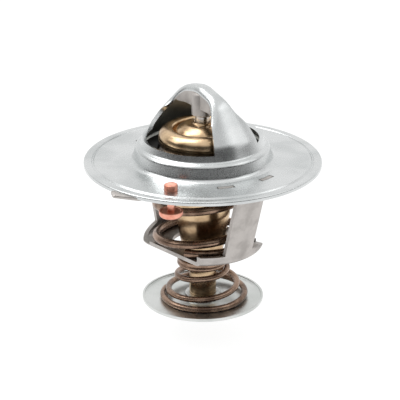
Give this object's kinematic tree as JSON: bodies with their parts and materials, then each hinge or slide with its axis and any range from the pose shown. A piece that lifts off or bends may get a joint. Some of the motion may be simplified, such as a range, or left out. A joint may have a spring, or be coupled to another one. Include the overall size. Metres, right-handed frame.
{
  "type": "engine coolant thermostat",
  "caption": "Round coolant valve with a pressed flange, a bridge over a wax-filled brass element, a conical and a straight coil spring and a bypass disc.",
  "frame": {"origin": "centre of the bounding box's bottom face: on the part's axis, in the plane of the bypass disc's underside", "axes": "+Z along the part's axis towards the bridge's apex, +X to the right and +Y away from the viewer in the picture"},
  "size_m": [0.054, 0.054, 0.0518],
  "materials": {
    "housing_steel": "bright pressed stainless steel with a satin sheen",
    "frame_steel": "dull pressed stainless steel",
    "rod_steel": "ground stainless steel",
    "spring_steel": "dark oil-tempered spring wire",
    "brass": "turned and pressed brass",
    "copper": "bright copper",
    "rubber": "matt black rubber",
    "wax": "copper-filled wax, sealed in the case",
    "disc_steel": "satin stainless steel"
  },
  "bodies": {
    "housing": {"upper_housing": "housing_steel", "lower_frame": "frame_steel", "piston": "rod_steel", "main_spring": "spring_steel"},
    "element": {"element_case": "brass", "element_guide": "brass", "rubber_sleeve": "rubber", "wax_charge": "wax", "sleeve_washer": "rod_steel", "piston_seal": "rubber", "valve_plate": "frame_steel", "valve_seal": "rubber", "spring_seat": "frame_steel", "bypass_shaft": "brass", "bypass_washer": "brass", "bypass_spring": "spring_steel", "bypass_clip": "spring_steel"},
    "bypass": {"bypass_disc": "disc_steel"},
    "bleed": {"bleed_pin": "copper", "bleed_weight": "copper"}
  },
  "joints": [
    {"name": "main_valve_lift", "type": "slide", "parent": "housing", "child": "element", "axis": [0, 0, -1], "range_m": [0, 0.008], "stiffness_N_per_m": 1500, "springref_m": -0.004, "deforming": ["main_spring"]},
    {"name": "bypass_disc_slide", "type": "slide", "parent": "element", "child": "bypass", "axis": [0, 0, 1], "range_m": [0, 0.0045], "stiffness_N_per_m": 500, "springref_m": -0.004, "deforming": ["bypass_spring"]},
    {"name": "bleed_pin_lift", "type": "slide", "parent": "housing", "child": "bleed", "axis": [0, 0, 1], "range_m": [0, 0.0035]}
  ]
}
